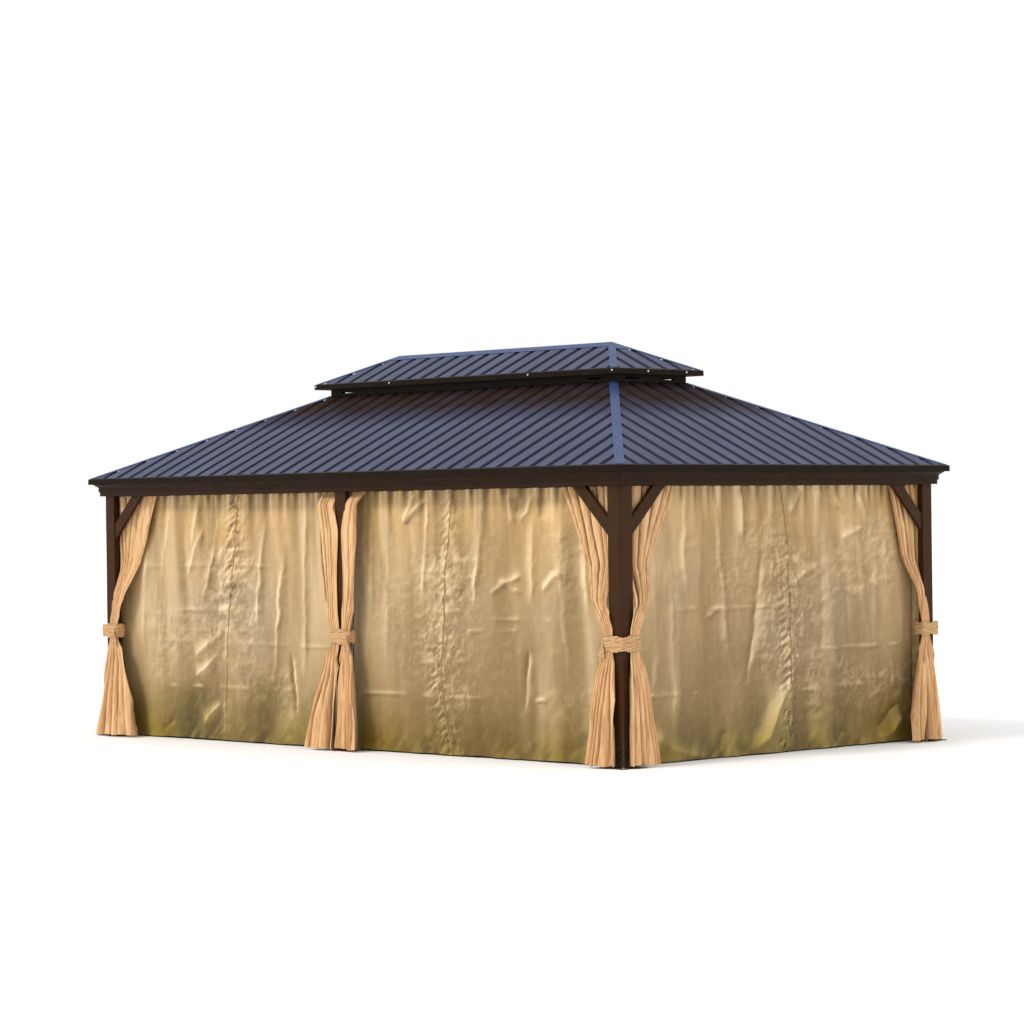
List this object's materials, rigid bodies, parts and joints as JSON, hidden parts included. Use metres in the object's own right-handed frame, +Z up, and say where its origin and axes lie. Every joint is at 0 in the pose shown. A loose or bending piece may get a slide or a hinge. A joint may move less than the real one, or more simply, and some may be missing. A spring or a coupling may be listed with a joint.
{
  "type": "metal gazebo",
  "caption": "Rectangular hardtop gazebo with a two-tier hipped metal roof on posts, curtains tied to the posts and nets closing every side.",
  "frame": {"origin": "middle of the footprint at floor level, under the ridge", "axes": "+X along the long walls, +Z up, the front long wall faces -Y"},
  "size_m": [6, 3.6, 3.0503],
  "materials": {
    "bronze_frame": "satin dark bronze powder coat",
    "black_trim": "satin near-black coated steel",
    "roof_sheet": "low-gloss blue-grey coated ribbed steel",
    "roof_cap": "low-gloss blue coated folded steel",
    "net_cloth": "sheer glossy khaki netting",
    "curtain_cloth": "matte tan polyester"
  },
  "bodies": {
    "root": {"corner_post_front_left": "bronze_frame", "corner_post_front_right": "bronze_frame", "corner_post_back_left": "bronze_frame", "corner_post_back_right": "bronze_frame", "middle_post_front": "bronze_frame", "middle_post_back": "bronze_frame", "foot_plates": "bronze_frame", "beam_front": "bronze_frame", "beam_back": "bronze_frame", "beam_left": "bronze_frame", "beam_right": "bronze_frame", "corner_braces_long_walls": "bronze_frame", "corner_braces_short_walls": "bronze_frame", "curtain_rails_long_walls": "bronze_frame", "curtain_rails_short_walls": "bronze_frame", "eave_trim_long_sides": "black_trim", "eave_trim_short_sides": "black_trim", "hip_rafters": "bronze_frame", "middle_rafters": "bronze_frame", "lower_roof_front": "roof_sheet", "lower_roof_back": "roof_sheet", "lower_roof_left": "roof_sheet", "lower_roof_right": "roof_sheet", "lower_hip_caps": "roof_cap", "vent_frame_long_sides": "black_trim", "vent_frame_short_sides": "black_trim", "upper_trim_long_sides": "black_trim", "upper_trim_short_sides": "black_trim", "upper_roof_front": "roof_sheet", "upper_roof_back": "roof_sheet", "upper_roof_left": "roof_sheet", "upper_roof_right": "roof_sheet", "upper_hip_caps": "roof_cap", "ridge_cap": "roof_cap", "net_front": "net_cloth", "net_back": "net_cloth", "net_left": "net_cloth", "net_right": "net_cloth", "curtains_front_left": "curtain_cloth", "curtains_front_middle": "curtain_cloth", "curtains_front_right": "curtain_cloth", "curtains_back_left": "curtain_cloth", "curtains_back_middle": "curtain_cloth", "curtains_back_right": "curtain_cloth", "tie_bands": "curtain_cloth"}
  },
  "joints": []
}
